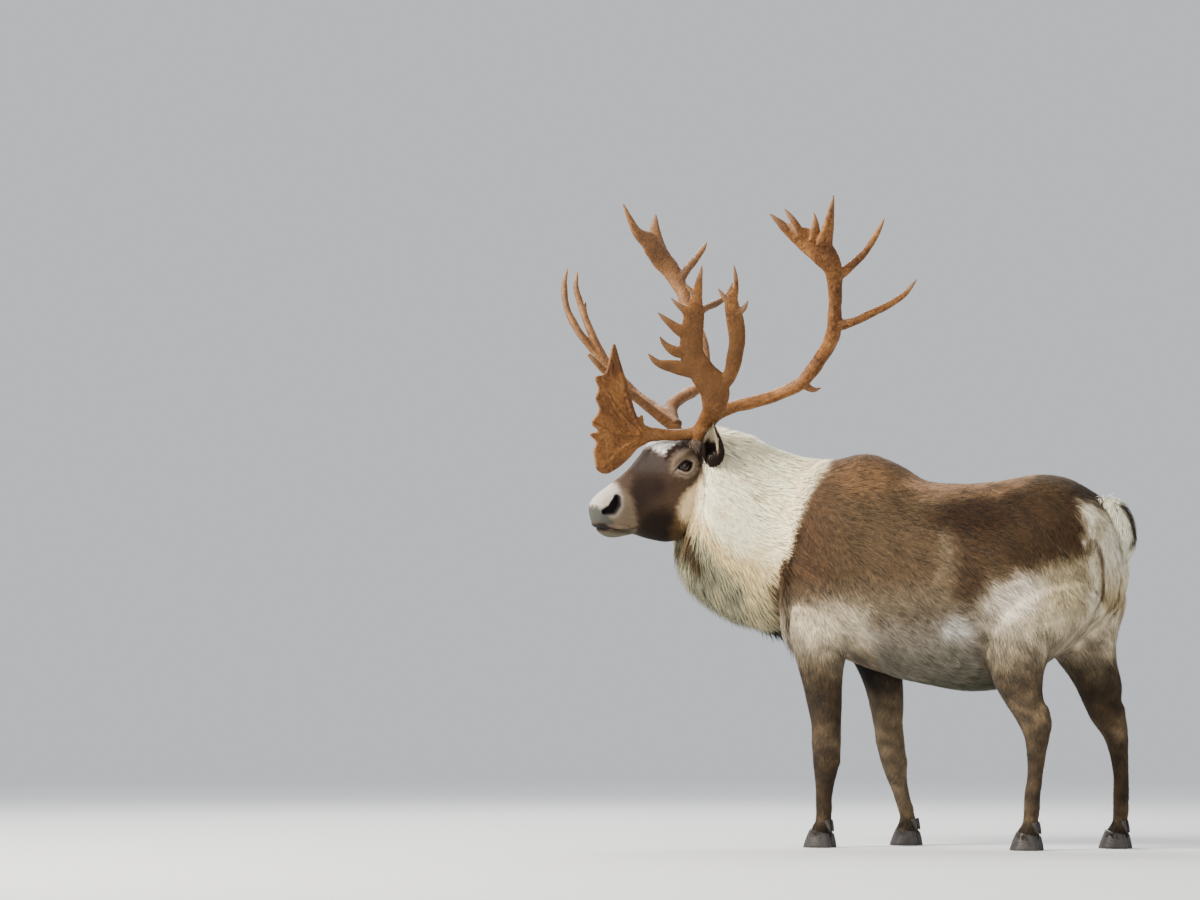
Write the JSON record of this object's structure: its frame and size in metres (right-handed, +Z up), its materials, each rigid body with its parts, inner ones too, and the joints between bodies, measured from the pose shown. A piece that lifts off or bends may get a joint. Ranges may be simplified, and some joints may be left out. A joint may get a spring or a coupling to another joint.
{
  "type": "reindeer bull",
  "caption": "Life-size standing bull reindeer with a cream mane and full branching antlers, head turned to its left, in a still pose.",
  "frame": {"origin": "on the floor, under the middle of the box round the whole animal", "axes": "+Z up; +X from the animal's head towards its tail, along the body; the animal's left side faces -Y"},
  "size_m": [1.8242, 1.098, 2.0614],
  "materials": {
    "coat_brown": "short dense brown coat",
    "coat_legs": "very short grey-brown coat",
    "coat_mane": "long cream mane in locks",
    "coat_face": "very short grey-brown face coat",
    "ear_fur": "short grey fur",
    "tail_fur": "white tail fur",
    "antler": "bare antler bone, rubbed brown",
    "horn": "dark hoof horn",
    "eye": "wet dark eye"
  },
  "bodies": {
    "root": {"torso": "coat_brown", "neck": "coat_mane", "head": "coat_face", "leg_front_left": "coat_legs", "hoof_front_left_outer": "horn", "dewclaw_front_left_outer": "horn", "hoof_front_left_inner": "horn", "dewclaw_front_left_inner": "horn", "leg_front_right": "coat_legs", "hoof_front_right_outer": "horn", "dewclaw_front_right_outer": "horn", "hoof_front_right_inner": "horn", "dewclaw_front_right_inner": "horn", "leg_hind_left": "coat_legs", "hoof_hind_left_outer": "horn", "dewclaw_hind_left_outer": "horn", "hoof_hind_left_inner": "horn", "dewclaw_hind_left_inner": "horn", "leg_hind_right": "coat_legs", "hoof_hind_right_outer": "horn", "dewclaw_hind_right_outer": "horn", "hoof_hind_right_inner": "horn", "dewclaw_hind_right_inner": "horn", "tail": "tail_fur", "eye_left": "eye", "ear_left": "ear_fur", "antler_left_beam": "antler", "antler_left_crown": "antler", "antler_left_rear_tine_low": "antler", "antler_left_rear_tine_high": "antler", "antler_left_bez": "antler", "antler_left_brow": "antler", "eye_right": "eye", "ear_right": "ear_fur", "antler_right_beam": "antler", "antler_right_crown": "antler", "antler_right_rear_tine_low": "antler", "antler_right_rear_tine_high": "antler", "antler_right_bez": "antler", "antler_right_brow": "antler"}
  },
  "joints": []
}
